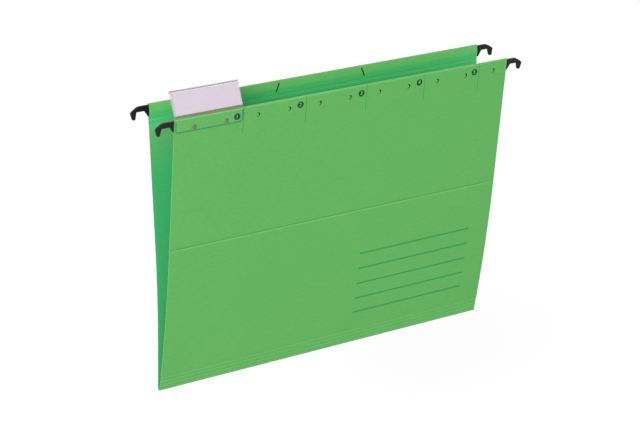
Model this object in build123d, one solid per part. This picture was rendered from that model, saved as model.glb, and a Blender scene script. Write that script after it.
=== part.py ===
from build123d import *
import math
import os

os.makedirs("parts", exist_ok=True)

# Hanging file for A4 papers: one scored card sheet folded into a V and hemmed over two steel rails,
# whose plastic hooks hang on the bars of a drawer. A clear index tab clips to the front hem.
# Millimetres and degrees. X runs along the rails, Y from front to rear, Z up.
# The origin is in the middle of the four hook seats.

# Card sheet
card = 0.45                  # thickness
panel_width = 318.0
seat_height = 238.6          # from the underside of the fold up to the hook seats
crease_height = 130.6        # mid crease of the front, above the fold
front_lean = 3.9             # outward lean of the front above its crease
foot_lean = 9.5              # outward lean of the front at its foot
rear_lean = 6.1              # outward lean of the upper rear panel
rear_bend_start = 40.0       # the rear panel bows between these heights
rear_bend_end = 130.0

# Fold and pressed score lines
fold_radius = 1.3            # inside the bottom fold
score_pitch = 3.6
score_count = 4              # on each side, the first at the foot of the fold
score_width = 1.6
score_depth = 0.22
crease_width = 2.2
crease_depth = 0.3
fold_gap = 0.25              # parting between the panels that turn on each other

# Hems
hem_gap = 1.2                # between the two layers, where the rail lies
hem_height = 14.0
hem_step_radius = 2.0
hem_step_turn = 25.0         # the flap steps in below the rail
hem_score_drop = 16.6        # score line of the rear panel below the top of its hem
glue_height = 1.7
glue_film = 0.15
glue_clear = 0.02
flap_inset = 0.4             # the flap is this much shorter than the panel at each end
slit_spacing = 83.0
slit_length = 8.6
slit_width = 1.2
slit_slant = 22.0
slit_drop = 6.2              # middle of a slit below the top of the hem

# Punched places for the index tab, along the front hem
place_start = 3.4            # from the left edge to the first place
place_pitch_share = 0.18028  # of the panel's width
punch_count = 11
punch_drop = 8.6             # below the top of the hem
punch_radius = 2.0
inner_radius = 1.5           # a smaller round, set aside, stays as a tongue within a crescent slot
inner_offset = 0.9
peg_count = 2
peg_clear = 0.15
peg_reach = 0.4              # past the card, into the hem

# Rails
rail_thickness = 1.0
rail_height = 5.4
rail_edge = 0.2              # rounding of the long edges
tongue_length = 8.0
tongue_height = 2.4
anchor_radius = 0.7
anchor_place = 5.2           # from the end of the hem
mould_clear = 0.03

# Hooks
hook_thickness = 2.4
hook_clear = 0.4             # from the end of the hem
arm_height = 4.4             # from the seat up to the top of the rail
hook_flat = 9.5              # straight top, from the end of the hem
hook_reach = 16.2
nose_drop = 4.2
tip_inset = 1.6              # the nose narrows towards its tip
tip_width = 2.3
tip_drop = 10.4
seat_start = 3.9
seat_end = 11.0
root_drop = 5.2              # below the seat
shoulder_round = 7.0
nose_round = 2.2
tip_round = 1.1
hook_edge = 0.35

# Index tab and its label
film = 0.4
tab_width = 60.2
tab_shift = 1.1              # middle of the film, left of the middle between its pegs
tab_clear = 0.1              # between the film and the card
tab_drop = 11.6              # front leaf below the top of the hem
tab_bow = 1.0                # the film starts to turn this far below the top of the hem
tab_turn = 28.0              # lean of the pocket, back from the leaf
tab_bend_radius = 1.5
tab_corner = 3.0
pocket_length = 21.4
roll_radius = 1.3
back_leaf = 20.2
foot_gap = 0.7               # between the leaves at the foot of the pocket
weld_height = 1.5
label_thickness = 0.25
label_margin = 0.6
label_height = 18.0
label_clear = 0.2

overrun = 1.0                # cuts run past the faces by this much
short_overrun = 0.15         # where a rail or a flap lies close behind

half_card = card / 2
fold_line = fold_radius + half_card
layer = hem_gap / 2 + half_card          # middle of the card from the middle of the rail
hem_top = arm_height + hem_gap / 2 + card
place_pitch = panel_width * place_pitch_share


# Points of the section are (y, z), and a heading of 90 points up
def step(point, heading, distance):
    turn = math.radians(heading)
    return (point[0] + distance * math.cos(turn), point[1] + distance * math.sin(turn))


def aside(point, heading, distance):
    return step(point, heading + 90, distance)


def straight(length):
    return (length, 0, 0)


def bend(radius, turn):
    return (0, radius, turn)


# One run further along a path: the new place and heading
def advance(point, heading, run):
    length, radius, turn = run
    if turn == 0:
        return step(point, heading, length), heading
    swing = math.copysign(radius, turn)
    centre = aside(point, heading, swing)
    return aside(centre, heading + turn, -swing), heading + turn


def section_point(point):
    return (0, point[0], point[1])


# One face of a folded sheet, at an offset to the left of the path
def trace(start, heading, runs, offset):
    edges = []
    point = start
    for run in runs:
        length, radius, turn = run
        ahead, ahead_heading = advance(point, heading, run)
        first = section_point(aside(point, heading, offset))
        last = section_point(aside(ahead, ahead_heading, offset))
        if turn == 0:
            edges.append(Line(first, last))
        else:
            swing = math.copysign(radius, turn)
            centre = aside(point, heading, swing)
            middle = section_point(aside(centre, heading + turn / 2, offset - swing))
            edges.append(ThreePointArc(first, middle, last))
        point, heading = ahead, ahead_heading
    return edges


# A sheet bent along a path in the section and extruded across the width
def folded_sheet(start, heading, runs, thickness, width):
    left = trace(start, heading, runs, thickness / 2)
    right = trace(start, heading, runs, -thickness / 2)
    ends = [Line(left[0] @ 0, right[0] @ 0), Line(left[-1] @ 1, right[-1] @ 1)]
    outline = Face(Wire(left + right + ends))
    return extrude(outline, amount=width / 2, dir=(1, 0, 0), both=True)


# Half of a pressed groove: the card steps to one side by the depth over half the width
def half_groove(width, depth, side):
    turn = 2 * math.degrees(math.atan(2 * depth / width))
    radius = width / (4 * math.sin(math.radians(turn)))
    return [bend(radius, side * turn), bend(radius, -side * turn)]


def groove(width, depth, side):
    return half_groove(width, depth, side) + half_groove(width, depth, -side)


# The sheet turns over the rail, comes down and steps in to the glue
def hem_runs(side):
    turn = math.radians(hem_step_turn)
    shift = hem_gap - glue_film
    slope = (shift - 2 * hem_step_radius * (1 - math.cos(turn))) / math.sin(turn)
    step_drop = 2 * hem_step_radius * math.sin(turn) + slope * math.cos(turn)
    flap = hem_height - (hem_top - arm_height) - step_drop - glue_height
    step_in = [bend(hem_step_radius, side * hem_step_turn), straight(slope)]
    step_back = [bend(hem_step_radius, -side * hem_step_turn), straight(glue_height)]
    return [bend(layer, side * 180), straight(flap)] + step_in + step_back


# Section of the sheet from the middle of the bottom fold, first up the front
front_foot_heading = 90 + foot_lean
front_heading = 90 + front_lean
score_flat = score_pitch - score_width
scored = score_count * score_pitch - score_flat
part_angle = math.degrees(fold_gap / 2 / fold_line)
fold_centre = (0, fold_line)
front_foot = aside(fold_centre, front_foot_heading, fold_line)
bow_start = step(front_foot, front_foot_heading, scored)
mean_lean = (foot_lean + front_lean) / 2
crease_lip = (fold_gap + crease_width) / 2
bow_rise = crease_height - crease_lip * math.cos(math.radians(front_lean)) - bow_start[1]
bow_chord = bow_rise / math.cos(math.radians(mean_lean))
bow_turn = foot_lean - front_lean
bow_radius = bow_chord / (2 * math.sin(math.radians(bow_turn / 2)))
bow_end = step(bow_start, 90 + mean_lean, bow_chord)
crease = step(bow_end, front_heading, crease_lip)

# Then up the rear
rear_heading = 90 - rear_lean
rear_chord = (rear_bend_end - rear_bend_start) / math.cos(math.radians(rear_lean / 2))
rear_radius = rear_chord / (2 * math.sin(math.radians(rear_lean / 2)))
rear_bow_end = step((fold_line, rear_bend_start), 90 - rear_lean / 2, rear_chord)

# Both panels run up until their hook seats lie level
seat_level = seat_height - half_card


def rise_to_seat(point, lean):
    turn = math.radians(lean)
    return (seat_level - point[1] - layer * math.sin(turn)) / math.cos(turn)


front_rise = rise_to_seat(crease, front_lean)
rear_rise = rise_to_seat(rear_bow_end, rear_lean)
front_seat = aside(step(crease, front_heading, front_rise), front_heading, -layer)
rear_seat = aside(step(rear_bow_end, rear_heading, rear_rise), rear_heading, layer)
middle = (front_seat[0] + rear_seat[0]) / 2

# From the fold's own place to the origin between the seats, and the upright frames of the two hems,
# where Z = 0 is the seat, Y = 0 the middle of the rail and +Y the inside of the folder
hang = Pos(0, -middle, -seat_level)
front_hem = Pos(0, front_seat[0] - middle, 0) * Rot(front_lean, 0, 0)
rear_hem = Pos(0, rear_seat[0] - middle, 0) * Rot(-rear_lean, 0, 0) * Rot(0, 0, 180)


# Pressed score lines beside the bottom fold
def score_lines(side):
    runs = groove(score_width, score_depth, side)
    for score in range(score_count - 1):
        runs.append(straight(score_flat))
        runs += groove(score_width, score_depth, side)
    return runs


# Front panel, from the bottom fold to its crease and from there over the rail
def front_lower_panel():
    start = aside(fold_centre, 180 - part_angle, fold_line)
    runs = [bend(fold_line, part_angle + foot_lean - 90)] + score_lines(-1)
    runs.append(bend(bow_radius, -bow_turn))
    runs += half_groove(crease_width, crease_depth, -1)
    return hang * folded_sheet(start, 180 - part_angle, runs, card, panel_width)


def front_upper_panel():
    start = step(crease, front_heading, fold_gap / 2)
    start = aside(start, front_heading, -crease_depth)
    runs = half_groove(crease_width, crease_depth, 1)
    runs.append(straight(front_rise + arm_height - crease_lip))
    panel = hang * folded_sheet(start, front_heading, runs + hem_runs(-1), card, panel_width)
    panel -= front_hem * flap_notches()
    return panel - [front_hem * punch for punch in punched_places()]


# Rear panel, from the bottom fold over its rail
def rear_panel():
    start = aside(fold_centre, part_angle, -fold_line)
    below = hem_score_drop - hem_top - score_width / 2
    runs = [bend(fold_line, 90 - part_angle)] + score_lines(1)
    runs.append(straight(rear_bend_start - fold_line - scored))
    runs.append(bend(rear_radius, -rear_lean))
    runs.append(straight(rear_rise - below - score_width))
    runs += groove(score_width, score_depth, -1)
    runs.append(straight(below + arm_height))
    panel = hang * folded_sheet(start, part_angle, runs + hem_runs(1), card, panel_width)
    panel -= rear_hem * flap_notches()
    return panel - rear_hem * slits()


# Cuts in the hems, in the hem's upright frame
def flap_notches():
    depth = hem_gap + card + overrun
    height = hem_height + overrun
    block = Box(flap_inset + overrun, depth, height)
    y = depth / 2 - hem_gap / 2
    x = (panel_width - flap_inset + overrun) / 2
    z = arm_height - height / 2
    return Pos(-x, y, z) * block + Pos(x, y, z) * block


def slits():
    y = hem_gap / 2 + card / 2
    cut = Box(slit_width, card + short_overrun, slit_length)
    z = hem_top - slit_drop
    right = Pos(slit_spacing / 2, y, z) * Rot(0, -slit_slant, 0) * cut
    left = Pos(-slit_spacing / 2, y, z) * Rot(0, slit_slant, 0) * cut
    return left + right


def crescent(shrink):
    whole = Circle(punch_radius - shrink)
    return whole - Pos(-inner_offset, 0) * Circle(inner_radius + shrink)


def punch_place(index):
    first = place_pitch / 4
    return place_start + first + index * place_pitch / 2 - panel_width / 2


# A crescent at one place of the hem, from the outside in to a given depth
def crescent_stud(index, shrink, outside, inside):
    face = Plane.XZ * crescent(shrink)
    stud = extrude(face, amount=inside - outside, dir=(0, 1, 0))
    return Pos(punch_place(index), outside, hem_top - punch_drop) * stud


def punched_places():
    outside = -(hem_gap / 2 + card + overrun)
    inside = -(hem_gap / 2 - short_overrun)
    return [crescent_stud(index, 0, outside, inside) for index in range(punch_count)]


# Rail: a steel strip with a narrow tongue at each end
def rail():
    length = panel_width + 2 * tongue_length
    strip_body = Box(panel_width, rail_thickness, rail_height)
    strip_body = fillet(strip_body.edges().filter_by(Axis.X), rail_edge)
    strip_body = Pos(0, 0, arm_height - rail_height / 2) * strip_body
    tongue = Pos(0, 0, arm_height / 2) * Box(length, rail_thickness, tongue_height)
    anchor = Rot(90, 0, 0) * Cylinder(anchor_radius, rail_thickness + overrun)
    x = panel_width / 2 + anchor_place
    holes = Pos(-x, 0, arm_height / 2) * anchor + Pos(x, 0, arm_height / 2) * anchor
    return strip_body + tongue - holes


# Hook at the right end of a rail, moulded round the tongue and through its anchor hole
def hook():
    end = panel_width / 2
    outline = Polyline(
        (end + hook_clear, arm_height),
        (end + hook_flat, arm_height),
        (end + hook_reach, arm_height - nose_drop),
        (end + hook_reach - tip_inset, arm_height - tip_drop),
        (end + hook_reach - tip_inset - tip_width, arm_height - tip_drop),
        (end + seat_end, 0),
        (end + seat_start, 0),
        (end + hook_clear, -root_drop),
        close=True,
    )
    profile = make_face(outline)
    shoulder = profile.vertices().sort_by(Axis.Y)[-2:].sort_by(Axis.X)[-1:]
    profile = fillet(shoulder, shoulder_round)
    profile = fillet(profile.vertices().sort_by(Axis.X)[-1:], nose_round)
    profile = fillet(profile.vertices().sort_by(Axis.Y)[:2], tip_round)
    body = extrude(Plane.XZ * profile, amount=hook_thickness / 2, both=True)
    sides = body.faces().sort_by(Axis.Y)
    rims = ShapeList(sides[0].edges() + sides[-1].edges())
    body = fillet(rims, hook_edge)
    slot = Box(
        tongue_length + mould_clear,
        rail_thickness + 2 * mould_clear,
        tongue_height + 2 * mould_clear,
    )
    slot_x = end + (tongue_length + mould_clear) / 2
    body -= Pos(slot_x, 0, arm_height / 2) * slot
    pin = Rot(90, 0, 0) * Cylinder(anchor_radius - mould_clear, hook_thickness / 2)
    return body + Pos(end + anchor_place, 0, arm_height / 2) * pin


# Glue between the foot of the flap and the panel
def hem_glue():
    thickness = glue_film - 2 * glue_clear
    y = -hem_gap / 2 + glue_film / 2
    z = hem_top - hem_height + glue_height / 2
    return Pos(0, y, z) * Box(panel_width - 2 * flap_inset, thickness, glue_height)


# Index tab: one film, from its front leaf over the roll at the top to the back leaf
tab_x = place_start + place_pitch / 2 - panel_width / 2 - tab_shift
tab_y = -(hem_gap / 2 + card + tab_clear + film / 2)
tab_foot = (tab_y, hem_top - tab_drop)
leaf_run = straight(tab_drop - tab_bow)
lean_run = bend(tab_bend_radius, -tab_turn)
leaf_end = advance(tab_foot, 90, leaf_run)
pocket_foot = advance(leaf_end[0], leaf_end[1], lean_run)[0]
pocket = Pos(tab_x, pocket_foot[0], pocket_foot[1]) * Rot(-tab_turn, 0, 0)
narrowing = math.degrees(math.asin((2 * roll_radius - foot_gap - film) / back_leaf))
weld_foot = pocket_length - back_leaf * math.cos(math.radians(narrowing))


def index_tab():
    runs = [leaf_run, lean_run, straight(pocket_length)]
    runs += [bend(roll_radius, -180 - narrowing), straight(back_leaf)]
    sheet = Pos(tab_x, 0, 0) * folded_sheet(tab_foot, 90, runs, film, tab_width)
    corners = sheet.edges().filter_by(Axis.Y).group_by(Axis.Z)[0]
    sheet = fillet(corners, tab_corner)
    weld = Box(tab_width, foot_gap + film, weld_height)
    sheet += pocket * Pos(0, (foot_gap + film) / 2, weld_foot + weld_height / 2) * weld
    for index in range(peg_count):
        sheet += crescent_stud(index, peg_clear, tab_y, peg_reach - hem_gap / 2)
    return sheet


def label_insert():
    width = tab_width - 2 * label_margin
    y = film / 2 + label_clear + label_thickness / 2
    z = weld_foot + weld_height + label_clear + label_height / 2
    return pocket * Pos(0, y, z) * Box(width, label_thickness, label_height)


nodes = {
    "rear_panel": rear_panel(),
    "front_lower_panel": front_lower_panel(),
    "front_upper_panel": front_upper_panel(),
    "index_tab": front_hem * index_tab(),
    "label_insert": front_hem * label_insert(),
}
for name, frame in (("front", front_hem), ("rear", rear_hem)):
    nodes[name + "_rail"] = frame * rail()
    nodes[name + "_hem_glue"] = frame * hem_glue()
right_hook = hook()
left_hook = mirror(right_hook, about=Plane.YZ)
nodes["front_right_hook"] = front_hem * right_hook
nodes["front_left_hook"] = front_hem * left_hook
nodes["rear_left_hook"] = rear_hem * right_hook
nodes["rear_right_hook"] = rear_hem * left_hook

for name, solid in nodes.items():
    export_step(solid, "parts/" + name + ".step")


# Fold lines and seats, as (y, z) from the origin
def placed(point):
    return (round(point[0] - middle, 3), round(point[1] - seat_level, 3))


print("front_open", placed((0, -half_card)))
print("flap_fold", placed(aside(crease, front_heading, half_card)))
seat_x = panel_width / 2 + (seat_start + seat_end) / 2
print("seats", placed(front_seat), placed(rear_seat), "x", seat_x)
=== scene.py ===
import math

import bmesh
import bpy
from mathutils import Euler, Matrix, Vector


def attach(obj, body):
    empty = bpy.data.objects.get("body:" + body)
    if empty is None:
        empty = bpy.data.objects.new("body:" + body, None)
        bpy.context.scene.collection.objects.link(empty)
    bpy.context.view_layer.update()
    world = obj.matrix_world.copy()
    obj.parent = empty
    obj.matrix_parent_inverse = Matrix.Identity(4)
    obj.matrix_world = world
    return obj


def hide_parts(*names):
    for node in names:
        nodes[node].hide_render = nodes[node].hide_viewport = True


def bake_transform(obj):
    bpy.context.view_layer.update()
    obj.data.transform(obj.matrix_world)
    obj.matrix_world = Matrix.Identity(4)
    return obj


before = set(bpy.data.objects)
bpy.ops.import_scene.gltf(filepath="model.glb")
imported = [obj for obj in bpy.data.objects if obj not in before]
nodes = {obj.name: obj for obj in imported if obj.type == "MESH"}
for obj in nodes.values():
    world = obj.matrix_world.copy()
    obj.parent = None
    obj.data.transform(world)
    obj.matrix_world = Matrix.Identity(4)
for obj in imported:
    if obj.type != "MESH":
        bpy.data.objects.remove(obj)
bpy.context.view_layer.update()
mm = 0.001  # the pieces' sizes are in millimetres, angles in degrees
near = 0.01 * mm  # points this close lie on one line
touching = 0.001 * mm  # points this close are the same
print("frame loaded,", len(nodes), "nodes")


# small helpers for working as in the viewport

# a new object with nothing else selected
def added(primitive, **settings):
    bpy.ops.object.select_all(action="DESELECT")
    primitive(**settings)
    return bpy.context.object


def pickOnly(*objs):
    bpy.ops.object.select_all(action="DESELECT")
    for obj in objs:
        obj.select_set(True)
    bpy.context.view_layer.objects.active = objs[0]


def startEdit(obj):
    pickOnly(obj)
    bpy.ops.object.mode_set(mode="EDIT")
    bpy.ops.mesh.select_all(action="SELECT")


def endEdit():
    bpy.ops.object.mode_set(mode="OBJECT")


def pickVerts(obj, wanted):
    shape = bmesh.from_edit_mesh(obj.data)
    bpy.ops.mesh.select_all(action="DESELECT")
    for vert in shape.verts:
        vert.select = wanted(vert.co)
    shape.select_flush(True)
    bmesh.update_edit_mesh(obj.data)


# the edge that runs across a sheet at one place of its section
def pickEdge(sheet, place):
    pickVerts(sheet, lambda spot: (spot - place).yz.length < near)


def settle(obj):
    pickOnly(obj)
    bpy.ops.object.transform_apply(location=True, rotation=True, scale=True)


def setInto(obj, place):
    obj.matrix_world = place
    settle(obj)
    return obj


def finishWith(obj, kind, **settings):
    pickOnly(obj)
    modifier = obj.modifiers.new(kind.lower(), kind)
    for key, value in settings.items():
        setattr(modifier, key, value)
    bpy.ops.object.modifier_apply(modifier=modifier.name)


def joined(name, pieces):
    pickOnly(*pieces)
    bpy.ops.object.join()
    whole = bpy.context.object
    whole.name = name
    whole.data.name = name
    return whole


# copies of one piece along the rails, made into one
def rowOf(name, first, places):
    row = [first]
    while len(row) < len(places):
        pickOnly(first)
        bpy.ops.object.duplicate(linked=False)
        row.append(bpy.context.object)
    for piece, x in zip(row, places):
        piece.location.x = x * mm
        settle(piece)
    return joined(name, row)


def cutAway(obj, cutter):
    finishWith(obj, "BOOLEAN", object=cutter, operation="DIFFERENCE", solver="EXACT")
    bpy.data.objects.remove(cutter)


def smoothed(obj, degrees=30):
    pickOnly(obj)
    bpy.ops.object.shade_smooth_by_angle(angle=math.radians(degrees))


def dress(obj, *materials):
    obj.data.materials.clear()
    for material in materials:
        obj.data.materials.append(material)


# finishes

texture = {"stretch": (0.16, 1.0, 1.0), "fibreDetail": 6, "speckDetail": 2, "speckFiner": 2.3,
           "cloudDetail": 3, "fibreRange": (0.3, 0.7), "mouldDetail": 4, "bumpDepth": 0.1}
number, vector, colour = "NodeSocketFloat", "NodeSocketVector", "NodeSocketColor"


def blankMaterial(name):
    material = bpy.data.materials.new(name)
    material.use_nodes = True
    tree = material.node_tree
    tree.nodes.clear()
    output = tree.nodes.new("ShaderNodeOutputMaterial")
    shader = tree.nodes.new("ShaderNodeBsdfPrincipled")
    tree.links.new(shader.outputs["BSDF"], output.inputs["Surface"])
    return material, tree, shader


def blankGroup(name, inputs, outputs):
    group = bpy.data.node_groups.new(name, "ShaderNodeTree")
    for way, sockets in (("INPUT", inputs), ("OUTPUT", outputs)):
        for socket, kind in sockets.items():
            group.interface.new_socket(name=socket, in_out=way, socket_type=kind)
    return group, group.nodes.new("NodeGroupInput"), group.nodes.new("NodeGroupOutput")


def groupIn(tree, group, **values):
    node = tree.nodes.new("ShaderNodeGroup")
    node.node_tree = group
    for socket, value in values.items():
        node.inputs[socket].default_value = value
    return node


def noiseIn(tree, place, scale, detail):
    noise = tree.nodes.new("ShaderNodeTexNoise")
    noise.inputs["Detail"].default_value = detail
    tree.links.new(place, noise.inputs["Vector"])
    tree.links.new(scale, noise.inputs["Scale"])
    return noise.outputs["Fac"]


def mathIn(tree, operation, first, second):
    node = tree.nodes.new("ShaderNodeMath")
    node.operation = operation
    tree.links.new(first, node.inputs[0])
    tree.links.new(second, node.inputs[1])
    return node.outputs[0]


def colourMix(tree, blend, amount):
    mix = tree.nodes.new("ShaderNodeMix")
    mix.data_type = "RGBA"
    mix.blend_type = blend
    tree.links.new(amount, mix.inputs["Factor"])
    return mix


# fibres run along the rails, with finer specks and slow clouds
def fibreGroup():
    group, entry, leave = blankGroup(
        "paper_fibre", {"Place": vector, "Fibres": number, "Specks": number, "Clouds": number},
        {"Fibre": number, "Cloud": number, "Height": number})
    place = entry.outputs["Place"]
    stretch = group.nodes.new("ShaderNodeMapping")
    stretch.inputs["Scale"].default_value = texture["stretch"]
    group.links.new(place, stretch.inputs["Vector"])
    fibre = noiseIn(group, stretch.outputs["Vector"], entry.outputs["Fibres"], texture["fibreDetail"])
    speck = noiseIn(group, place, entry.outputs["Specks"], texture["speckDetail"])
    cloud = noiseIn(group, place, entry.outputs["Clouds"], texture["cloudDetail"])
    group.links.new(fibre, leave.inputs["Fibre"])
    group.links.new(cloud, leave.inputs["Cloud"])
    group.links.new(mathIn(group, "ADD", fibre, speck), leave.inputs["Height"])
    return group


# the fine unevenness of moulded plastic, rolled steel and film
def mouldGroup():
    group, entry, leave = blankGroup(
        "mould_grain", {"Place": vector, "Scale": number}, {"Grain": number})
    grain = noiseIn(group, entry.outputs["Place"], entry.outputs["Scale"], texture["mouldDetail"])
    group.links.new(grain, leave.inputs["Grain"])
    return group


# painted light and shade: a tint that grows from one height to another
def tintGroup():
    group, entry, leave = blankGroup(
        "painted_light_by_height",
        {"Place": vector, "Colour": colour, "Shade": colour, "Start": number, "End": number},
        {"Colour": colour})
    link = group.links.new
    parts = group.nodes.new("ShaderNodeSeparateXYZ")
    grown = group.nodes.new("ShaderNodeMapRange")
    link(entry.outputs["Place"], parts.inputs["Vector"])
    link(parts.outputs["Z"], grown.inputs["Value"])
    link(entry.outputs["Start"], grown.inputs["From Min"])
    link(entry.outputs["End"], grown.inputs["From Max"])
    tint = colourMix(group, "MULTIPLY", grown.outputs["Result"])
    link(entry.outputs["Colour"], tint.inputs["A"])
    link(entry.outputs["Shade"], tint.inputs["B"])
    link(tint.outputs["Result"], leave.inputs["Colour"])
    return group


fibres = fibreGroup()
moulding = mouldGroup()
paintedLightByHeight = tintGroup()


def placeFrom(tree, attribute=None):
    if attribute:
        source = tree.nodes.new("ShaderNodeAttribute")
        source.attribute_name = attribute
        return source.outputs["Vector"]
    return tree.nodes.new("ShaderNodeTexCoord").outputs["Object"]


def spread(tree, value, low, high, start=0.0, end=1.0):
    ranged = tree.nodes.new("ShaderNodeMapRange")
    ranged.inputs["From Min"].default_value = start
    ranged.inputs["From Max"].default_value = end
    ranged.inputs["To Min"].default_value = low
    ranged.inputs["To Max"].default_value = high
    tree.links.new(value, ranged.inputs["Value"])
    return ranged.outputs["Result"]


def tonesBy(tree, value, dark, light):
    mix = colourMix(tree, "MIX", value)
    mix.inputs["A"].default_value = (*dark, 1)
    mix.inputs["B"].default_value = (*light, 1)
    return mix.outputs["Result"]


def bumped(tree, shader, height, strength):
    bump = tree.nodes.new("ShaderNodeBump")
    bump.inputs["Strength"].default_value = strength
    bump.inputs["Distance"].default_value = texture["bumpDepth"] * mm
    tree.links.new(height, bump.inputs["Height"])
    tree.links.new(bump.outputs["Normal"], shader.inputs["Normal"])


# paper, card and ink: two tones by fibres, clouds laid over, painted light tints by height where a look
# lists them, a fine bump
def paperMaterial(name, look, attribute=None):
    material, tree, shader = blankMaterial(name)
    link = tree.links.new
    place = placeFrom(tree, attribute)
    paper = groupIn(tree, fibres, Fibres=look["fibre"], Specks=look["fibre"] * texture["speckFiner"],
                    Clouds=look["cloudScale"])
    link(place, paper.inputs["Place"])
    strength = spread(tree, paper.outputs["Fibre"], 0, 1, *texture["fibreRange"])
    clouded = colourMix(tree, "MULTIPLY", paper.outputs["Cloud"])
    clouded.inputs["B"].default_value = (*look["cloud"], 1)
    link(tonesBy(tree, strength, look["dark"], look["light"]), clouded.inputs["A"])
    tone = clouded.outputs["Result"]
    # painted light: each listed tint multiplies the colour from one height to another
    for shade, (start, end) in look.get("paintedTints", ()):
        tint = groupIn(tree, paintedLightByHeight, Shade=(*shade, 1), Start=start * mm, End=end * mm)
        link(place, tint.inputs["Place"])
        link(tone, tint.inputs["Colour"])
        tone = tint.outputs["Colour"]
    link(tone, shader.inputs["Base Color"])
    link(spread(tree, paper.outputs["Cloud"], *look["rough"]), shader.inputs["Roughness"])
    bumped(tree, shader, paper.outputs["Height"], look["bump"])
    shader.inputs["Specular IOR Level"].default_value = look["shine"]
    return material


# plastic, steel and film: two tones and a roughness by one grain
def solidMaterial(name, look):
    material, tree, shader = blankMaterial(name)
    mould = groupIn(tree, moulding, Scale=look["scale"])
    tree.links.new(placeFrom(tree), mould.inputs["Place"])
    grain = mould.outputs["Grain"]
    tree.links.new(tonesBy(tree, grain, look["dark"], look["light"]), shader.inputs["Base Color"])
    tree.links.new(spread(tree, grain, *look["rough"]), shader.inputs["Roughness"])
    bumped(tree, shader, grain, look["bump"])
    shader.inputs["Metallic"].default_value = look.get("metal", 0.0)
    shader.inputs["Alpha"].default_value = look.get("alpha", 1.0)
    shader.inputs["Specular IOR Level"].default_value = look["shine"]
    return material


# the card's section: places are (y, z) from the bottom fold, a heading of 90 is straight up

card = {
    "thickness": 0.45, "width": 318.0, "foldPlace": (3.347, -238.375), "foldRadius": 1.525,
    "footLean": 9.5, "frontLean": 3.9, "rearLean": 6.1, "rearBend": (40.0, 130.0),
    "scoreCount": 4, "scorePitch": 3.6, "scoreWidth": 1.6, "scoreDepth": 0.32, "hemScoreDrop": 16.6,
    "creaseHeight": 130.6, "creaseWidth": 2.2, "creaseDepth": 0.42, "creaseFlat": 0.25,
    "railY": 20.42, "railTop": 4.4, "railTurn": 0.825,  # the card's turn over the rail
    "hemGap": 1.2, "hemHeight": 14.0, "hemTop": 5.45, "hemStep": (4.0, 12.0),
    "glueHeight": 1.7, "glueFilm": 0.15, "flapInset": 0.4, "flapCorner": 0.6,
    "paleEdge": 0.6, "highlightTilt": 0.1,
    "turnReach": 1.0,  # the card bends this far to each side of its fold and its crease
}
# how finely a sheet is divided along its section
growth = {"straight": 12.0, "bendStep": 9.0, "leastSteps": 3, "wideRadius": 20.0, "wideSteps": 10}


def sinOf(angle):
    return math.sin(math.radians(angle))


def cosOf(angle):
    return math.cos(math.radians(angle))


def stepOn(place, heading, distance):
    return (place[0] + distance * cosOf(heading), place[1] + distance * sinOf(heading))


def beside(place, heading, distance):
    return stepOn(place, heading + 90, distance)


# a run is (length, radius, turn): straight on, or a bend to the left
def ahead(length):
    return (length, 0.0, 0.0)


def bend(radius, turn):
    return (0.0, radius, turn)


def afterRun(place, heading, run):
    length, radius, turn = run
    if turn == 0:
        return stepOn(place, heading, length), heading
    swing = math.copysign(radius, turn)
    centre = beside(place, heading, swing)
    return beside(centre, heading + turn, -swing), heading + turn


# the same runs from their far end
def turnedRound(place, heading, runs):
    for run in runs:
        place, heading = afterRun(place, heading, run)
    return place, heading + 180, [(length, radius, -turn) for length, radius, turn in reversed(runs)]


def halfGroove(width, depth, side):
    turn = 2 * math.degrees(math.atan(2 * depth / width))
    radius = width / (4 * sinOf(turn))
    return [bend(radius, side * turn), bend(radius, -side * turn)]


def scoreLine(side):
    width, depth = card["scoreWidth"], card["scoreDepth"]
    return halfGroove(width, depth, side) + halfGroove(width, depth, -side)


def scoreRuns(side):
    flat = ahead(card["scorePitch"] - card["scoreWidth"])
    return scoreLine(side) + (card["scoreCount"] - 1) * ([flat] + scoreLine(side))


# over the rail, down, and in to the glue
def hemRuns(side):
    radius, angle = card["hemStep"]
    shift = card["hemGap"] - card["glueFilm"]
    slope = (shift - 2 * radius * (1 - cosOf(angle))) / sinOf(angle)
    drop = 2 * radius * sinOf(angle) + slope * cosOf(angle)
    flap = card["hemHeight"] - (card["hemTop"] - card["railTop"]) - drop - card["glueHeight"]
    over = [bend(card["railTurn"], side * 180), ahead(card["flapCorner"])]
    down = [ahead(flap - card["flapCorner"])]
    stepIn = [bend(radius, side * angle), ahead(slope), bend(radius, -side * angle)]
    onGlue = [ahead(card["glueHeight"] - card["paleEdge"]), ahead(card["paleEdge"])]
    return over + down + stepIn + onGlue


# length up a leaning panel to the level of the hook seats
def riseToSeat(place, lean):
    return (-card["foldPlace"][1] - place[1] - card["railTurn"] * sinOf(lean)) / cosOf(lean)


def inFrame(place):
    return Vector((0, place[0] + card["foldPlace"][0], place[1] + card["foldPlace"][1])) * mm


# front: scored foot, bowed lower panel, crease; rear: straight, bowed, straight
foldCentre = (0.0, card["foldRadius"])
scored = (card["scoreCount"] - 1) * card["scorePitch"] + card["scoreWidth"]
footHeading, frontHeading = 90 + card["footLean"], 90 + card["frontLean"]
bowStart = stepOn(beside(foldCentre, footHeading, card["foldRadius"]), footHeading, scored)
lip = (card["creaseFlat"] + card["creaseWidth"]) / 2
meanLean = (card["footLean"] + card["frontLean"]) / 2
bowChord = (card["creaseHeight"] - lip * cosOf(card["frontLean"]) - bowStart[1]) / cosOf(meanLean)
bowTurn = card["footLean"] - card["frontLean"]
bowRadius = bowChord / (2 * sinOf(bowTurn / 2))
bowEnd = stepOn(bowStart, 90 + meanLean, bowChord)
crease = stepOn(bowEnd, frontHeading, lip)
rearStart, rearStop = card["rearBend"]
rearChord = (rearStop - rearStart) / cosOf(card["rearLean"] / 2)
rearRadius = rearChord / (2 * sinOf(card["rearLean"] / 2))
rearBowEnd = stepOn((card["foldRadius"], rearStart), 90 - card["rearLean"] / 2, rearChord)

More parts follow.
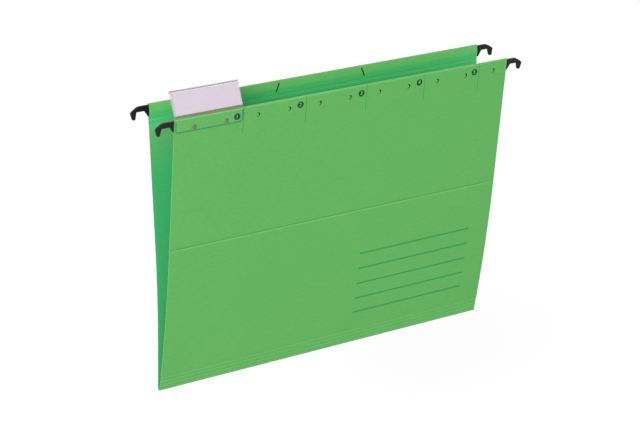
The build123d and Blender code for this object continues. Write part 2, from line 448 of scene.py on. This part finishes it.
# upright frames of the hems: z = 0 at the hook seats, y = 0 in the middle of the rail
frontHem = Matrix.Translation((0, -card["railY"] * mm, 0))
frontHem = frontHem @ Matrix.Rotation(math.radians(card["frontLean"]), 4, "X")
rearHem = Matrix.Translation((0, card["railY"] * mm, 0))
rearHem = rearHem @ Matrix.Rotation(math.radians(-card["rearLean"]), 4, "X")
rearHem = rearHem @ Matrix.Rotation(math.pi, 4, "Z")
hemFace = -(card["hemGap"] / 2 + card["thickness"])
hemFoot = card["hemTop"] - card["hemHeight"]


# a strip of sheet grown from a first plane along its section, edge by edge
def grownSheet(name, place, heading, runs, width, spotOf, tilt=0.0, widenAfter=None):
    first = runs[0][0]
    sheet = added(
        bpy.ops.mesh.primitive_plane_add, size=1, location=spotOf(stepOn(place, heading, first / 2)),
        rotation=(math.radians(heading + tilt), 0, 0))
    sheet.name = name
    sheet.data.name = name
    sheet.scale = (width * mm, first * mm, 1)
    settle(sheet)
    place = stepOn(place, heading, first)
    startEdit(sheet)
    for index, run in enumerate(runs[1:], 1):
        length, radius, turn = run
        onward, facing = afterRun(place, heading, run)
        pickEdge(sheet, spotOf(place))
        if turn == 0:
            pieces = max(1, round(length / growth["straight"]))
            move = (spotOf(onward) - spotOf(place)) / pieces
            for piece in range(pieces):
                bpy.ops.mesh.extrude_region_move(TRANSFORM_OT_translate={"value": move})
        else:
            steps = max(growth["leastSteps"], round(abs(turn) / growth["bendStep"]))
            if radius >= growth["wideRadius"]:
                steps = growth["wideSteps"]
            centre = spotOf(beside(place, heading, math.copysign(radius, turn)))
            bpy.ops.mesh.spin(steps=steps, angle=-math.radians(turn), center=centre, axis=(1, 0, 0))
        place, heading = onward, facing
        if index == widenAfter:
            pickEdge(sheet, spotOf(place))
            bpy.ops.transform.resize(value=(card["width"] / width, 1, 1), center_override=spotOf(place))
    bpy.ops.mesh.select_all(action="SELECT")
    bpy.ops.mesh.remove_doubles(threshold=touching)
    bpy.ops.mesh.normals_make_consistent(inside=False)
    endEdit()
    return sheet


# turns the normals over where the face at a place of the front looks back
def facedFront(sheet, place):
    front = min(sheet.data.polygons, key=lambda face: (face.center - inFrame(place)).length)
    if front.normal.y > 0:
        startEdit(sheet)
        bpy.ops.mesh.flip_normals()
        endEdit()


# both sheets start at the foot of a flap, which is a little shorter than the panel
flapWidth = card["width"] - 2 * card["flapInset"]
cornerRun = len(hemRuns(1)) - 2  # after this run a sheet has its full width
hemInside = card["railTop"] - hemFoot
belowScore = card["hemScoreDrop"] - card["hemTop"] - card["scoreWidth"] / 2
rearRise = riseToSeat(rearBowEnd, card["rearLean"])
rearRuns = [bend(card["foldRadius"], 90)] + scoreRuns(1)
rearRuns += [ahead(rearStart - card["foldRadius"] - scored), bend(rearRadius, -card["rearLean"])]
rearRuns += [ahead(rearRise - belowScore - card["scoreWidth"])] + scoreLine(-1)
rearRuns += [ahead(belowScore + card["railTop"] - hemInside), ahead(hemInside)]
footRuns = [bend(card["foldRadius"], card["footLean"] - 90)] + scoreRuns(-1)
footRuns += [bend(bowRadius, -bowTurn)]
place, heading, runs = turnedRound((0.0, 0.0), 0.0, rearRuns + hemRuns(1))
runs += footRuns
lowerSheet = grownSheet("card_lower", place, heading, runs, flapWidth, inFrame, widenAfter=cornerRun)
facedFront(lowerSheet, bowEnd)

frontRise = riseToSeat(crease, card["frontLean"])
upperRuns = halfGroove(card["creaseWidth"], card["creaseDepth"], -1) + [ahead(card["creaseFlat"])]
upperRuns += halfGroove(card["creaseWidth"], card["creaseDepth"], 1)
upperRuns += [ahead(frontRise + card["railTop"] - lip - hemInside), ahead(hemInside)]
place, heading, runs = turnedRound(bowEnd, frontHeading, upperRuns + hemRuns(-1))
upperSheet = grownSheet("card_upper", place, heading, runs, flapWidth, inFrame, widenAfter=cornerRun)
facedFront(upperSheet, stepOn(crease, frontHeading, frontRise / 2))
print("card sheets grown")


# the card's finishes, by place; several are painted light and shade

plainCard = {"cloud": (0.93, 0.96, 0.93), "fibre": 1500, "cloudScale": 22,
             "rough": (0.62, 0.74), "bump": 0.22, "shine": 0.3}
cardLooks = {
    "green_card": dict(plainCard, dark=(0.109, 0.418, 0.099), light=(0.129, 0.462, 0.117)),
    # painted light: the inner face is lighter and bluer than the outer face, turns blue-green lower
    # down, and is lightened just under the flap where it lies in shade
    "green_card_inside_painted_light": dict(
        plainCard, dark=(0.112, 0.468, 0.148), light=(0.134, 0.515, 0.170),
        rough=(0.66, 0.78), shine=0.25,
        paintedTints=(((0.45, 1.0, 1.04), (-22.0, -52.0)), ((0.72, 1.18, 1.22), (-20.0, -14.0)))),
    "green_card_cut_edge": {
        "dark": (0.30, 0.60, 0.22), "light": (0.38, 0.68, 0.28), "cloud": (0.92, 0.95, 0.92),
        "fibre": 2600, "cloudScale": 60, "rough": (0.8, 0.9), "bump": 0.4, "shine": 0.15},
    # painted shade: the inner faces inside the hems, and the walls of the slits, are near black
    "green_card_in_hem_painted_shade": dict(
        plainCard, dark=(0.010, 0.075, 0.018), light=(0.016, 0.100, 0.026), cloud=(0.9, 0.94, 0.9),
        rough=(0.7, 0.8), bump=0.2, shine=0.1),
    # painted light: the flaps' outer face is lighter than the panel where the front shades it, turning
    # blue-green towards the flap's foot
    "green_card_flap_painted_light": dict(
        plainCard, dark=(0.158, 0.520, 0.133), light=(0.184, 0.572, 0.156),
        paintedTints=(((0.36, 1.04, 1.22), (4.4, -6.5)),)),
    # the crease: its lower wall lighter, for wear and a painted highlight; its upper wall darker, a
    # painted shade
    "green_card_fold_wear_and_highlight": dict(plainCard, dark=(0.142, 0.476, 0.136), light=(0.164, 0.516, 0.156)),
    "green_card_fold_painted_shade": dict(plainCard, dark=(0.083, 0.362, 0.078), light=(0.098, 0.400, 0.092)),
    # painted highlight: lighter where the scores' faces look up
    "green_card_score_painted_highlight": dict(plainCard, dark=(0.133, 0.462, 0.126), light=(0.157, 0.508, 0.148)),
    # the hem tops: lighter, for wear and a painted highlight
    "green_card_top_wear_and_highlight": dict(plainCard, dark=(0.165, 0.470, 0.135), light=(0.190, 0.515, 0.155)),
    # a pale line along the lower border of each flap
    "green_card_pale_edge": dict(plainCard, dark=(0.127, 0.640, 0.245), light=(0.147, 0.700, 0.280)),
}
(outside, inside, cutEdge, hemPaintedShade, flapPaintedLight,
 foldWearAndHighlight, foldPaintedShade, scorePaintedHighlight, topWearAndHighlight, paleEdge) = range(len(cardLooks))
restPlace = "restPlace"  # where a point of the card is at rest, so that the fibres stay on it
cardFaces = [paperMaterial(name, look, restPlace) for name, look in cardLooks.items()]


def cardFinish(sheet, face, toHem):
    spot = toHem @ face.center / mm
    # painted shade: inner faces inside a hem are near black
    if face.material_index == inside and spot.z > hemFoot:
        return hemPaintedShade
    if face.material_index != outside:
        return face.material_index
    # the hem tops: lighter, for wear and a painted highlight
    if spot.z > card["railTop"]:
        return topWearAndHighlight
    # the flaps: painted light, and a pale line along their lower border
    if spot.z > hemFoot and spot.y > -card["hemGap"] / 2:
        return paleEdge if spot.z < hemFoot + card["paleEdge"] else flapPaintedLight
    # the crease: a painted highlight with wear on its lower wall, painted shade on its upper wall
    overCrease = (face.center - inFrame(crease)).z / mm
    if sheet == upperSheet and abs(overCrease) < card["creaseWidth"] / 2:
        return foldWearAndHighlight if overCrease < 0 else foldPaintedShade
    # the scores: a painted highlight on the faces that look up
    overFold = (face.center - inFrame(foldCentre)).z / mm
    if sheet == lowerSheet and 0 < overFold < scored and face.normal.z > card["highlightTilt"]:
        return scorePaintedHighlight
    return outside


for sheet, hem in ((lowerSheet, rearHem), (upperSheet, frontHem)):
    dress(sheet, *cardFaces)
    finishWith(sheet, "SOLIDIFY", thickness=card["thickness"] * mm, offset=0, use_even_offset=True,
               material_offset=inside, material_offset_rim=cutEdge)
    for face in sheet.data.polygons:
        face.material_index = cardFinish(sheet, face, hem.inverted())
print("card sheets finished")


# holes punched for the index tab, slits in the rear flap

punches = {"count": 11, "radius": 2.0, "inner": 1.5, "offset": 0.9, "sides": 48, "drop": 8.6,
           "start": 3.4, "pitch": 57.329, "outward": 1.0, "inward": 0.6}
slits = {"spacing": 83.0, "length": 8.6, "width": 1.2, "slant": 22.0, "drop": 6.2, "overrun": 0.15}
throughHem = (math.pi / 2, 0, 0)  # lays a cylinder's axis across the hem


# a crescent stud in a hem's frame, between two depths
def crescentStud(front, back, shrink=0.0):
    def roundBar(radius, shift, length):
        spot = Vector((shift, (front + back) / 2, card["hemTop"] - punches["drop"])) * mm
        bar = added(bpy.ops.mesh.primitive_cylinder_add, vertices=punches["sides"], radius=radius * mm,
                    depth=length * mm, location=spot, rotation=throughHem)
        settle(bar)
        return bar

    stud = roundBar(punches["radius"] - shrink, 0, back - front)
    cutAway(stud, roundBar(punches["inner"] + shrink, -punches["offset"], 2 * (back - front)))
    return stud


def punchRow(name, stud, count):
    start = punches["start"] + punches["pitch"] / 4 - card["width"] / 2
    whole = rowOf(name, stud, [start + index * punches["pitch"] / 2 for index in range(count)])
    return setInto(whole, frontHem)


def slitCutter():
    pair = []
    depth, height = -hemFace - card["thickness"] / 2, card["hemTop"] - slits["drop"]
    for side in (-1, 1):
        spot = Vector((side * slits["spacing"] / 2, depth, height)) * mm
        blade = added(bpy.ops.mesh.primitive_cube_add, size=1, location=spot)
        blade.rotation_euler = (0, math.radians(-side * slits["slant"]), 0)
        size = (slits["width"], card["thickness"] + slits["overrun"], slits["length"])
        blade.scale = Vector(size) * mm
        settle(blade)
        pair.append(blade)
    return setInto(joined("slit_cutter", pair), rearHem)


# the walls of a cut take the finish of what cuts it
def edgeMarked(cutter, finish):
    dress(cutter, *cardFaces)
    for face in cutter.data.polygons:
        face.material_index = finish
    return cutter


punchStud = crescentStud(hemFace - punches["outward"], hemFace + punches["inward"])
punchCutter = punchRow("punch_cutter", punchStud, punches["count"])
cutAway(upperSheet, edgeMarked(punchCutter, cutEdge))
# the slit walls take the hem's painted shade
cutAway(lowerSheet, edgeMarked(slitCutter(), hemPaintedShade))
for sheet in (lowerSheet, upperSheet):
    smoothed(sheet)
    places = sheet.data.attributes.new(restPlace, "FLOAT_VECTOR", "POINT")
    for vert, spot in zip(sheet.data.vertices, places.data):
        spot.vector = vert.co
print("hems punched and slit")


# print on the card: thin leaves of ink

prints = {
    "ink": 0.02, "sink": 0.01,
    "markWidth": 0.6, "markTop": 0.3, "markFoot": 23.0, "marks": (-97.4, -39.4, 18.0, 75.2, 130.4),
    "discRadius": 2.85, "discSides": 48, "discDrop": 6.8, "discs": (-103.1, -44.9, 13.0, 70.0, 125.8),
    "digitSize": 4.6, "digitSwell": 0.05, "digitMerge": 0.03,
    "lineFrom": 25.0, "lineTo": 138.0, "lineWidth": 1.5,
    "lines": (-149.6, -164.2, -178.9, -193.4, -207.4),
}
plainInk = {"fibre": 1800, "cloudScale": 120, "bump": 0.1, "shine": 0.2}
lineInk = dict(plainInk, dark=(0.024, 0.320, 0.080), light=(0.036, 0.380, 0.105),
               cloud=(0.88, 0.94, 0.88), rough=(0.58, 0.7))
discInk = dict(plainInk, dark=(0.005, 0.062, 0.012), light=(0.009, 0.088, 0.020),
               cloud=(0.85, 0.9, 0.85), rough=(0.55, 0.68), shine=0.15)
paleInk = dict(plainInk, dark=(0.24, 0.50, 0.20), light=(0.30, 0.56, 0.25),
               cloud=(0.95, 0.97, 0.95), rough=(0.6, 0.7))


def leafOf(piece, thickness):
    settle(piece)
    finishWith(piece, "SOLIDIFY", thickness=thickness * mm, offset=-1)
    return piece


def inkStrip(spot, heading, width, height):
    strip = added(bpy.ops.mesh.primitive_plane_add, size=1, location=spot,
                  rotation=(math.radians(heading), 0, 0))
    strip.scale = (width * mm, height * mm, 1)
    return leafOf(strip, prints["ink"] + prints["sink"])


def onHem(x, drop, lift):
    return frontHem @ (Vector((x, hemFace - lift, card["hemTop"] - drop)) * mm)


# where the lower front panel is at a height: its place and heading
def lowerPanelAt(height):
    centre = beside(bowStart, footHeading, -bowRadius)
    heading = math.degrees(math.acos((height - card["foldPlace"][1] - centre[1]) / bowRadius))
    return beside(centre, heading, bowRadius), heading


hemTurn = (math.radians(frontHeading), 0, 0)
markSpot = onHem(0, (prints["markTop"] + prints["markFoot"]) / 2, prints["ink"])
mark = inkStrip(markSpot, frontHeading, prints["markWidth"], prints["markFoot"] - prints["markTop"])
placeMarks = rowOf("place_marks", mark, prints["marks"])
discSpot = onHem(0, prints["discDrop"], prints["ink"])
disc = added(bpy.ops.mesh.primitive_circle_add, vertices=prints["discSides"], fill_type="NGON",
             radius=prints["discRadius"] * mm, location=discSpot, rotation=hemTurn)
placeDiscs = rowOf("place_discs", leafOf(disc, prints["ink"] + prints["sink"]), prints["discs"])

digits = []
for index, x in enumerate(prints["discs"]):
    digit = added(bpy.ops.object.text_add, location=onHem(x, prints["discDrop"], 2 * prints["ink"]),
                  rotation=hemTurn)
    digit.data.body = str(index + 1)
    digit.data.size = prints["digitSize"] * mm
    digit.data.align_x = "CENTER"
    digit.data.align_y = "CENTER"
    digit.data.offset = prints["digitSwell"] * mm
    bpy.ops.object.convert(target="MESH")
    digit = bpy.context.object
    startEdit(digit)
    bpy.ops.mesh.remove_doubles(threshold=prints["digitMerge"] * mm)  # no slivers at the tight corners
    bpy.ops.mesh.beautify_fill()
    endEdit()
    digits.append(leafOf(digit, prints["ink"]))
placeNumbers = joined("place_numbers", digits)

rules = []
for height in prints["lines"]:
    place, heading = lowerPanelAt(height)
    spot = inFrame(beside(place, heading, card["thickness"] / 2 + prints["ink"]))
    spot.x = (prints["lineFrom"] + prints["lineTo"]) / 2 * mm
    rules.append(inkStrip(spot, heading, prints["lineTo"] - prints["lineFrom"], prints["lineWidth"]))
writingLines = joined("writing_lines", rules)
lineGreen = paperMaterial("green_line_print", lineInk)
dress(placeMarks, lineGreen)
dress(writingLines, lineGreen)
dress(placeDiscs, paperMaterial("dark_green_print", discInk))
dress(placeNumbers, paperMaterial("pale_number", paleInk))
print("marks printed")


# index tab: one clear film, up its leaf and pocket, over the roll, down the back to the weld

tab = {
    "film": 0.4, "width": 60.2, "middle": -128.0355, "clear": 0.1, "drop": 11.6, "bow": 1.0,
    "turn": 28.0, "bend": 1.5, "corner": 3.0, "cornerSteps": 8,
    "pocket": 21.4, "roll": 1.3, "back": 20.2, "curl": 3.0,
    "foot": (1.0, 2.8), "footGap": 0.7, "border": 0.7, "margin": 0.9,
    "weld": 1.5, "weldEdge": 0.15, "edgeSteps": 2, "pegs": 2, "pegClear": 0.15, "pegReach": 0.4,
    "tongue": 0.05, "tongueEdge": 0.025, "tongueSides": 32,
}
plainFilm = {"rough": (0.2, 0.3), "scale": 400, "bump": 0.05, "shine": 0.5}
clearFilm = dict(plainFilm, dark=(0.78, 0.76, 0.80), light=(0.86, 0.84, 0.88), rough=(0.10, 0.2),
                 scale=260, shine=0.2, alpha=0.02)
thickFilm = {"rough": (0.3, 0.45), "scale": 500, "bump": 0.1, "shine": 0.4}
filmLooks = {
    "clear_film": clearFilm,
    # painted shade: the dark border round the leaf, and its low rims, for the shadow and refraction of
    # the leaf's cut edge
    "film_border_painted_shade": dict(plainFilm, dark=(0.015, 0.360, 0.120), light=(0.025, 0.420, 0.150), alpha=0.4),
    "film_roll": dict(plainFilm, dark=(0.34, 0.27, 0.30), light=(0.42, 0.34, 0.37), rough=(0.18, 0.3),
                      alpha=0.36),
    # painted shade: a dark olive band at the pocket's foot, under the label
    "film_foot_painted_shade": dict(thickFilm, dark=(0.22, 0.30, 0.13), light=(0.29, 0.37, 0.17), alpha=0.45),
    "film_leaf": dict(clearFilm, alpha=0.006),
    # painted highlight: the film's bend is pale
    "film_bend_painted_highlight": dict(plainFilm, dark=(0.55, 0.72, 0.42), light=(0.64, 0.80, 0.50), shine=0.4,
                      alpha=0.18),
    "film_margin": dict(plainFilm, dark=(0.72, 0.66, 0.72), light=(0.80, 0.74, 0.80), alpha=0.45),
    # painted shade: the cut ends of the roll are near black and opaque
    "film_curl_end_painted_shade": dict(plainFilm, dark=(0.05, 0.04, 0.05), light=(0.08, 0.065, 0.075), shine=0.3),
    "film_cut_edge": dict(plainFilm, dark=(0.46, 0.36, 0.40), light=(0.56, 0.46, 0.50), alpha=0.85),
}
clear, border, roll, foot, leaf, bendHighlight, margin, curlEndShade, filmEdge = range(len(filmLooks))
weldLook = dict(thickFilm, dark=(0.20, 0.28, 0.13), light=(0.27, 0.34, 0.17), alpha=0.7)
# painted shade: the clear film pegs are near opaque dark green, so the punched holes show dark
pegLook = dict(thickFilm, dark=(0.10, 0.17, 0.07), light=(0.14, 0.23, 0.09), rough=(0.3, 0.4),
               alpha=0.9)
tongueLook = dict(pegLook, dark=(0.36, 0.21, 0.22), light=(0.44, 0.27, 0.28), alpha=0.3)


def onTab(place):
    return frontHem @ (Vector((tab["middle"], place[0], place[1])) * mm)


leafY = hemFace - tab["clear"] - tab["film"] / 2
tabFoot = (leafY, card["hemTop"] - tab["drop"])
narrowing = math.degrees(math.asin((2 * tab["roll"] - tab["footGap"] - tab["film"]) / tab["back"]))
leafRuns = [ahead(tab["drop"] - tab["bow"]), bend(tab["bend"], -tab["turn"])]
footStart, footEnd = tab["foot"]
pocketRuns = [ahead(footStart), ahead(footEnd - footStart)]
pocketRuns += [ahead(tab["pocket"] - footEnd - tab["curl"]), ahead(tab["curl"])]
pocketRuns += [bend(tab["roll"], -180 - narrowing)]
pocketRuns += [ahead(tab["curl"]), ahead(tab["back"] - tab["curl"])]
pocketFoot, pocketHeading = afterRun(*afterRun(tabFoot, 90, leafRuns[0]), leafRuns[1])
pocketLean = math.radians(pocketHeading - 90 + card["frontLean"])
pocketFrame = Matrix.Translation(onTab(pocketFoot)) @ Matrix.Rotation(pocketLean, 4, "X")
toHem, toPocket = frontHem.inverted(), pocketFrame.inverted()
leafTop = (card["hemTop"] - tab["bow"]) * mm
clearHalf = tab["width"] / 2 - tab["margin"]


def onLeaf(spot, below=0.0):
    return (toHem @ spot).z < leafTop - below * mm + touching


def onPocket(spot):
    return (toPocket @ spot).z > -touching


film = grownSheet("tab_film", tabFoot, 90, leafRuns + pocketRuns, tab["width"], onTab,
                  tilt=card["frontLean"])
startEdit(film)
pickEdge(film, onTab(tabFoot))
bpy.ops.mesh.bevel(offset=tab["corner"] * mm, segments=tab["cornerSteps"], affect="VERTICES")
pickVerts(film, onLeaf)  # a narrow border round the leaf, painted dark for the shadow and refraction of its cut edge
bpy.ops.mesh.inset(thickness=tab["border"] * mm, use_boundary=True)
for side in (-1, 1):  # margins beside the label
    pickVerts(film, onPocket)
    bpy.ops.mesh.bisect(plane_co=((tab["middle"] + side * clearHalf) * mm, 0, 0), plane_no=(1, 0, 0))
endEdit()
leafArea = max(face.area for face in film.data.polygons if onLeaf(face.center))


def filmFinish(face):
    spot = toPocket @ face.center / mm
    # painted shade along the leaf's border
    if onLeaf(face.center, tab["border"]) and face.area < leafArea:
        return border
    if onLeaf(face.center):
        return leaf
    # painted highlight on the bend
    if spot.z < 0:
        return bendHighlight
    if spot.z > tab["pocket"]:
        return roll
    # painted shade at the pocket's foot
    if footStart < spot.z < footEnd and spot.y < tab["film"]:
        return foot
    if abs(spot.x) > clearHalf and spot.z > footEnd:
        return margin
    return clear


def rimFinish(face):
    height = (toPocket @ face.center).z / mm
    if height < footStart:
        return border
    # painted shade: the cut ends of the roll are near black
    return curlEndShade if height > tab["pocket"] - tab["curl"] else filmEdge


dress(film, *[solidMaterial(name, look) for name, look in filmLooks.items()])
for face in film.data.polygons:
    face.material_index = filmFinish(face)
finishWith(film, "SOLIDIFY", thickness=tab["film"] * mm, offset=0, use_even_offset=True,
           material_offset_rim=filmEdge)
for face in film.data.polygons:
    if face.material_index == filmEdge:
        face.material_index = rimFinish(face)
smoothed(film)

# the weld at the back, dark olive like the pocket's foot band behind which it sits: painted shade
weldDepth = tab["footGap"] + tab["film"]
weldFoot = tab["pocket"] - tab["back"] * cosOf(narrowing)
weldSpot = Vector((0, weldDepth / 2, weldFoot + tab["weld"] / 2)) * mm
weld = added(bpy.ops.mesh.primitive_cube_add, size=1, location=weldSpot)
weld.scale = Vector((tab["width"], weldDepth, tab["weld"])) * mm
settle(weld)
finishWith(weld, "BEVEL", width=tab["weldEdge"] * mm, segments=tab["edgeSteps"])
setInto(weld, pocketFrame)
dress(weld, solidMaterial("film_weld_painted_shade", weldLook))

pegStud = crescentStud(leafY, tab["pegReach"] - card["hemGap"] / 2, tab["pegClear"])
pegs = punchRow("tab_pegs", pegStud, tab["pegs"])
# the pegs carry painted shade for the holes
dress(pegs, solidMaterial("film_peg_painted_shade", pegLook))
tongueSpot = (-punches["offset"], leafY - tab["film"] / 2, card["hemTop"] - punches["drop"])
tongue = added(bpy.ops.mesh.primitive_cylinder_add, vertices=tab["tongueSides"],
               radius=punches["inner"] * mm, depth=2 * tab["tongue"] * mm,
               location=Vector(tongueSpot) * mm, rotation=throughHem)
settle(tongue)
finishWith(tongue, "BEVEL", width=tab["tongueEdge"] * mm, segments=tab["edgeSteps"])
tongues = punchRow("tab_tongues", tongue, tab["pegs"])
dress(tongues, solidMaterial("film_tongue", tongueLook))
film = joined("tab_film", [film, weld, pegs, tongues])
print("tab made")


# finishes of the pieces that keep their own shape

hookLook = {"dark": (0.006, 0.005, 0.006), "light": (0.012, 0.010, 0.011), "rough": (0.42, 0.58),
            "scale": 700, "bump": 0.12, "shine": 0.2}
# the rails: dark steel, darkened so that what shows through the slits reads dark; partly the steel's
# own finish, partly painted shade
railLook = {"dark": (0.035, 0.035, 0.037), "light": (0.06, 0.06, 0.063), "rough": (0.45, 0.6),
            "scale": 900, "bump": 0.08, "shine": 0.5, "metal": 1.0}
labelLook = {"dark": (0.660, 0.570, 0.668), "light": (0.715, 0.620, 0.717), "cloud": (0.97, 0.97, 0.97),
             "fibre": 2200, "cloudScale": 60, "rough": (0.6, 0.7), "bump": 0.12, "shine": 0.3}
glueLook = {"dark": (0.62, 0.58, 0.45), "light": (0.75, 0.71, 0.58), "cloud": (0.9, 0.9, 0.88),
            "fibre": 500, "cloudScale": 90, "rough": (0.35, 0.5), "bump": 0.3, "shine": 0.4}
hookBlack = solidMaterial("black_plastic", hookLook)
darkSteelAndShade = solidMaterial("rail_steel", railLook)
hemGlue = paperMaterial("hem_glue", glueLook)
for row in ("front", "rear"):
    dress(nodes[row + "_left_hook"], hookBlack)
    dress(nodes[row + "_right_hook"], hookBlack)
    dress(nodes[row + "_rail"], darkSteelAndShade)
    dress(nodes[row + "_hem_glue"], hemGlue)
dress(nodes["label_insert"], paperMaterial("label_paper", labelLook))
print("finishes on")


# what each piece moves with
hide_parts("rear_panel", "front_lower_panel")
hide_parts("front_upper_panel")
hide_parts("index_tab")
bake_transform(lowerSheet)
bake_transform(upperSheet)
for piece, body, slot in (
        (placeMarks, "front_upper", "card"), (placeDiscs, "front_upper", "card"),
        (placeNumbers, "front_upper", "card"),
        (writingLines, "front_lower", "card"), (film, "tab", "tab_film")):
    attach(piece, body)
print("pieces ride on their bodies")


# floor, light and camera, in metres

studio = {
    "floor": -0.486, "floorSize": 8.0, "floorRough": 0.9, "floorSeen": 0.62, "floorLit": 0.52,
    "floorGlow": 0.78, "sky": 0.42, "target": (0, 0, -0.1), "lampAway": 5.0,
    # name, side, height, size, watts
    "lamps": (("soft_left", -48, 26, 3.0, 205.0), ("soft_back", 150, 35, 3.2, 70.0)),
}
camera = {"place": (-0.89622, -1.35915, 0.57313), "turn": (66.99627, -1.69004, -32.41341),
          "lens": 119.466, "sensor": 36.0, "farClip": 20.0}


def grey(level):
    return (level, level, level)


# rays that show the pale room: straight to the camera, mirrored, or through film
def shownRays(tree):
    path = tree.nodes.new("ShaderNodeLightPath")
    glossy, through = path.outputs["Is Glossy Ray"], path.outputs["Is Transmission Ray"]
    mirrored = mathIn(tree, "MAXIMUM", glossy, through)
    return mathIn(tree, "MAXIMUM", path.outputs["Is Camera Ray"], mirrored)


floor = added(bpy.ops.mesh.primitive_plane_add, size=studio["floorSize"],
              location=(0, 0, studio["floor"]))
floor.name = "floor"
floorMaterial, tree, shader = blankMaterial("pale_floor")
shown = shownRays(tree)
tone = tonesBy(tree, shown, grey(studio["floorGlow"]), grey(studio["floorSeen"]))
tree.links.new(tone, shader.inputs["Base Color"])
tree.links.new(tonesBy(tree, shown, grey(0), grey(studio["floorLit"])), shader.inputs["Emission Color"])
shader.inputs["Emission Strength"].default_value = 1.0
shader.inputs["Roughness"].default_value = studio["floorRough"]
shader.inputs["Specular IOR Level"].default_value = 0.0
dress(floor, floorMaterial)

world = bpy.data.worlds.new("soft_room")
bpy.context.scene.world = world
world.use_nodes = True
tree = world.node_tree
tree.nodes.clear()
output = tree.nodes.new("ShaderNodeOutputWorld")
room = tree.nodes.new("ShaderNodeBackground")
room.inputs["Strength"].default_value = studio["sky"]
white = tree.nodes.new("ShaderNodeBackground")
for background in (room, white):
    background.inputs["Color"].default_value = (1, 1, 1, 1)
mix = tree.nodes.new("ShaderNodeMixShader")
tree.links.new(shownRays(tree), mix.inputs["Fac"])
tree.links.new(room.outputs["Background"], mix.inputs[1])
tree.links.new(white.outputs["Background"], mix.inputs[2])
tree.links.new(mix.outputs["Shader"], output.inputs["Surface"])

target = Vector(studio["target"])
for name, side, high, size, power in studio["lamps"]:
    away = Vector((sinOf(side) * cosOf(high), -cosOf(side) * cosOf(high), sinOf(high)))
    lamp = added(bpy.ops.object.light_add, type="AREA", location=target + away * studio["lampAway"])
    lamp.name = name
    lamp.data.energy = power
    lamp.data.size = size
    lamp.rotation_euler = (-away).to_track_quat("-Z", "Y").to_euler()

view = added(bpy.ops.object.camera_add)
turn = Euler([math.radians(angle) for angle in camera["turn"]])
view.matrix_world = Matrix.LocRotScale(Vector(camera["place"]), turn, None)
view.data.sensor_width = camera["sensor"]
view.data.lens = camera["lens"]
view.data.clip_end = camera["farClip"]
bpy.context.scene.camera = view
bpy.context.scene.view_settings.view_transform = "Standard"
print("studio set")
